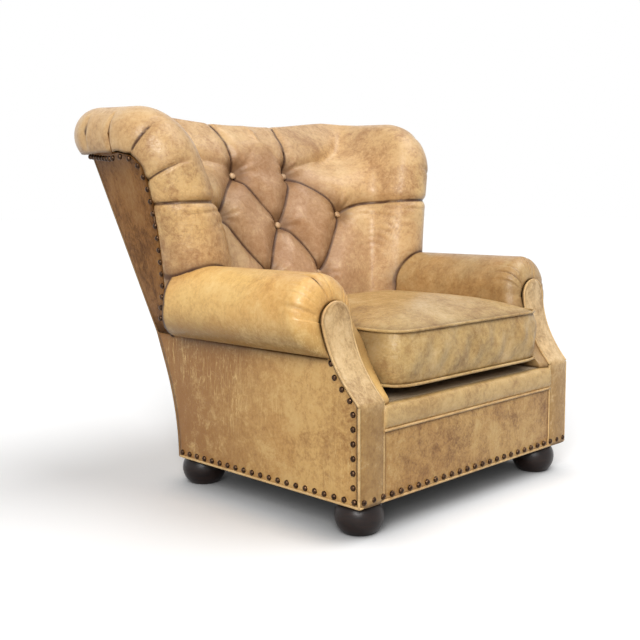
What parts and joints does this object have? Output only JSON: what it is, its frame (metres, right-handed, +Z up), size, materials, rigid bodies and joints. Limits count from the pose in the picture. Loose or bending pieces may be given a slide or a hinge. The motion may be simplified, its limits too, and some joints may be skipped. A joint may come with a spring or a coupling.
{
  "type": "wingback armchair",
  "caption": "Leather wingback armchair with rolled arms, button-tufted back inside a rolled wing and crest edge, loose box seat cushion and turned bun feet.",
  "frame": {"origin": "on the floor, under the middle of the chair's bounding box", "axes": "+Z up, the chair faces -Y, +X to the right when the chair is seen from its front"},
  "size_m": [1.127, 0.9929, 1.0022],
  "materials": {
    "tan_leather": "distressed satin leather",
    "frame_wood": "unfinished hardwood",
    "stained_wood": "dark stained satin",
    "bolt_steel": "plain steel",
    "spring_steel": "oiled spring wire",
    "jute_webbing": "woven webbing",
    "black_cloth": "non-woven cloth",
    "deck_cloth": "padded dark cloth",
    "cushion_foam": "wrapped foam"
  },
  "bodies": {
    "chair": {"arm_board_left": "frame_wood", "arm_board_right": "frame_wood", "arm_facing_left": "tan_leather", "arm_facing_right": "tan_leather", "arm_pad_left": "tan_leather", "arm_pad_right": "tan_leather", "back_cross_rail": "frame_wood", "back_post_left": "frame_wood", "back_post_right": "frame_wood", "back_roll": "tan_leather", "back_webbing_1": "jute_webbing", "back_webbing_2": "jute_webbing", "back_webbing_3": "jute_webbing", "corner_block_front_left": "frame_wood", "corner_block_front_right": "frame_wood", "corner_block_rear_left": "frame_wood", "corner_block_rear_right": "frame_wood", "crest_rail": "frame_wood", "dust_cover": "black_cloth", "foot_front_left": "stained_wood", "foot_front_right": "stained_wood", "foot_rear_left": "stained_wood", "foot_rear_right": "stained_wood", "front_edge_roll": "tan_leather", "front_panel": "tan_leather", "front_post_left": "frame_wood", "front_post_right": "frame_wood", "front_rail": "frame_wood", "hanger_bolt_front_left": "bolt_steel", "hanger_bolt_front_right": "bolt_steel", "hanger_bolt_rear_left": "bolt_steel", "hanger_bolt_rear_right": "bolt_steel", "inside_back": "tan_leather", "outside_arm_left": "tan_leather", "outside_arm_right": "tan_leather", "outside_back": "tan_leather", "outside_wing_left": "tan_leather", "outside_wing_right": "tan_leather", "rear_rail": "frame_wood", "seat_deck": "deck_cloth", "seat_spring_1": "spring_steel", "seat_spring_2": "spring_steel", "seat_spring_3": "spring_steel", "seat_spring_4": "spring_steel", "seat_spring_5": "spring_steel", "side_rail_left": "frame_wood", "side_rail_right": "frame_wood", "tuft_button_1": "tan_leather", "tuft_button_2": "tan_leather", "tuft_button_3": "tan_leather", "tuft_button_4": "tan_leather", "tuft_button_5": "tan_leather", "tuft_button_6": "tan_leather", "tuft_button_7": "tan_leather", "wing_post_left": "frame_wood", "wing_post_right": "frame_wood", "wing_rail_left": "frame_wood", "wing_rail_right": "frame_wood"},
    "seat_cushion": {"seat_cushion_core": "cushion_foam", "seat_cushion_cover": "tan_leather"}
  },
  "joints": [
    {"name": "cushion_lift", "type": "slide", "parent": "chair", "child": "seat_cushion", "axis": [0, 0, 1], "range_m": [0, 0.3]}
  ]
}
